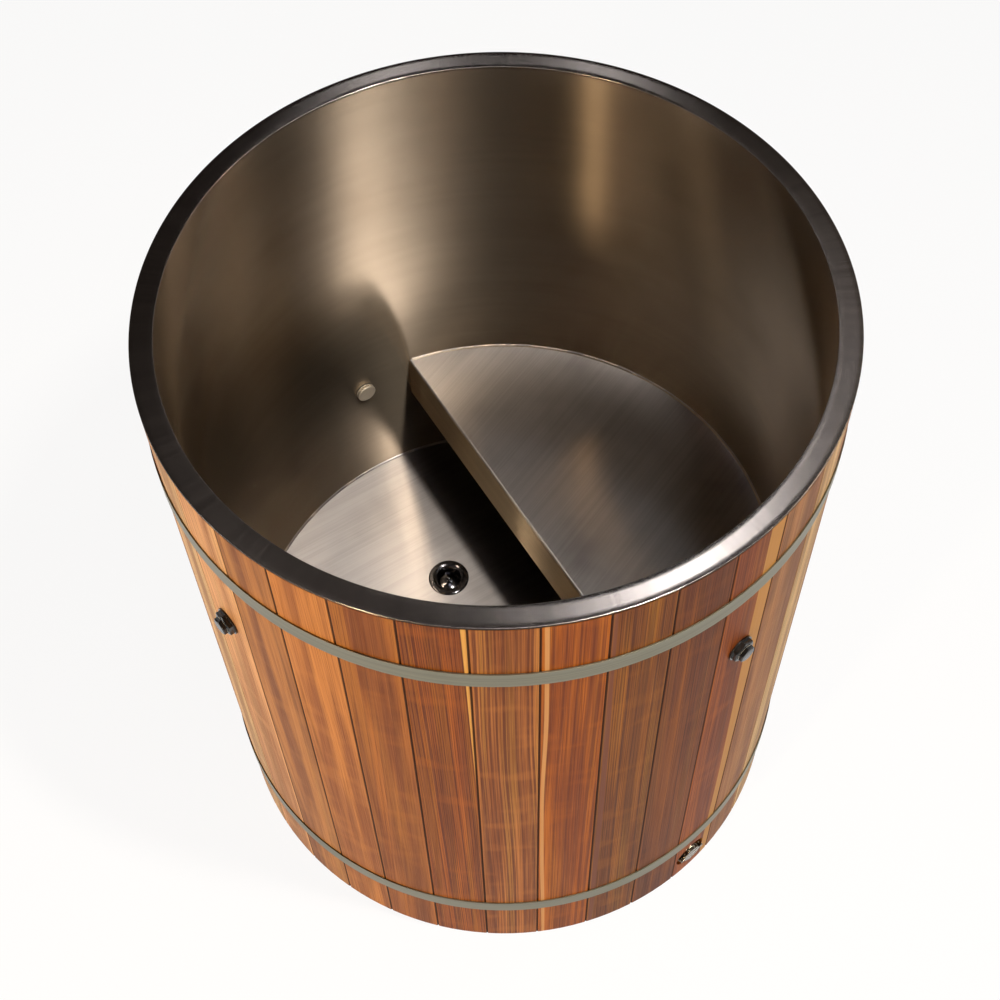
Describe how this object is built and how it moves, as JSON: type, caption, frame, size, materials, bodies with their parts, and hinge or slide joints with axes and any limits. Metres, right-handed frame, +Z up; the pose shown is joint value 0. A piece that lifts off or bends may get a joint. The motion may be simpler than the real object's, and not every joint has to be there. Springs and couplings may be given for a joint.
{
  "type": "barrel cold plunge tub",
  "caption": "Round upright cedar-stave cold plunge tub with steel hoops, a welded stainless liner, an inner seat shelf, hose ports, and a floor drain piped to a capped outlet.",
  "frame": {"origin": "on the tub's axis, at the floor it stands on", "axes": "+Z up along the barrel's axis; -Y is the front that the picture looks at; the seat lies towards +X and a little +Y"},
  "size_m": [0.9184, 0.9183, 1.06],
  "materials": {
    "cedar": "satin",
    "pine": "matte",
    "foam": "matte",
    "stainless": "satin",
    "hoop_steel": "satin",
    "drain_metal": "polished",
    "bright_steel": "polished",
    "port_metal": "satin",
    "black_plastic": "satin",
    "white_plastic": "satin",
    "rubber": "matte"
  },
  "bodies": {
    "tub": {"stave_01": "cedar", "stave_02": "cedar", "stave_03": "cedar", "stave_04": "cedar", "stave_05": "cedar", "stave_06": "cedar", "stave_07": "cedar", "stave_08": "cedar", "stave_09": "cedar", "stave_10": "cedar", "stave_11": "cedar", "stave_12": "cedar", "stave_13": "cedar", "stave_14": "cedar", "stave_15": "cedar", "stave_16": "cedar", "stave_17": "cedar", "stave_18": "cedar", "stave_19": "cedar", "stave_20": "cedar", "stave_21": "cedar", "stave_22": "cedar", "stave_23": "cedar", "stave_24": "cedar", "stave_25": "cedar", "stave_26": "cedar", "stave_27": "cedar", "stave_28": "cedar", "stave_29": "cedar", "stave_30": "cedar", "stave_31": "cedar", "stave_32": "cedar", "stave_33": "cedar", "stave_34": "cedar", "stave_35": "cedar", "joists": "pine", "base_boards": "pine", "floor_foam": "foam", "wall_foam": "foam", "liner_wall": "stainless", "liner_floor": "stainless", "rim_flange": "stainless", "seat_shelf": "stainless", "seat_ribs": "stainless", "upper_hoop": "hoop_steel", "lower_hoop": "hoop_steel", "hoop_bolts": "hoop_steel", "drain_body": "drain_metal", "drain_nut": "black_plastic", "drain_elbow": "white_plastic", "drain_pipe": "white_plastic", "outlet_body": "bright_steel", "port_bodies": "port_metal", "port_nuts": "black_plastic", "sealing_washers": "rubber"},
    "stopper": {"drain_stopper": "drain_metal", "stopper_seal": "rubber"},
    "outlet_cap": {"outlet_cap": "bright_steel"},
    "left_plug": {"left_plug": "black_plastic"},
    "right_plug": {"right_plug": "black_plastic"}
  },
  "joints": [
    {"name": "stopper_lift", "type": "slide", "parent": "tub", "child": "stopper", "axis": [0, 0, 1], "range_m": [0, 0.01]},
    {"name": "outlet_cap_off", "type": "slide", "parent": "tub", "child": "outlet_cap", "axis": [0.6374, -0.7705, 0], "range_m": [0, 0.03]},
    {"name": "left_plug_out", "type": "slide", "parent": "tub", "child": "left_plug", "axis": [-0.7818, -0.6235, 0], "range_m": [0, 0.03]},
    {"name": "right_plug_out", "type": "slide", "parent": "tub", "child": "right_plug", "axis": [0.6579, -0.7531, 0], "range_m": [0, 0.03]}
  ]
}
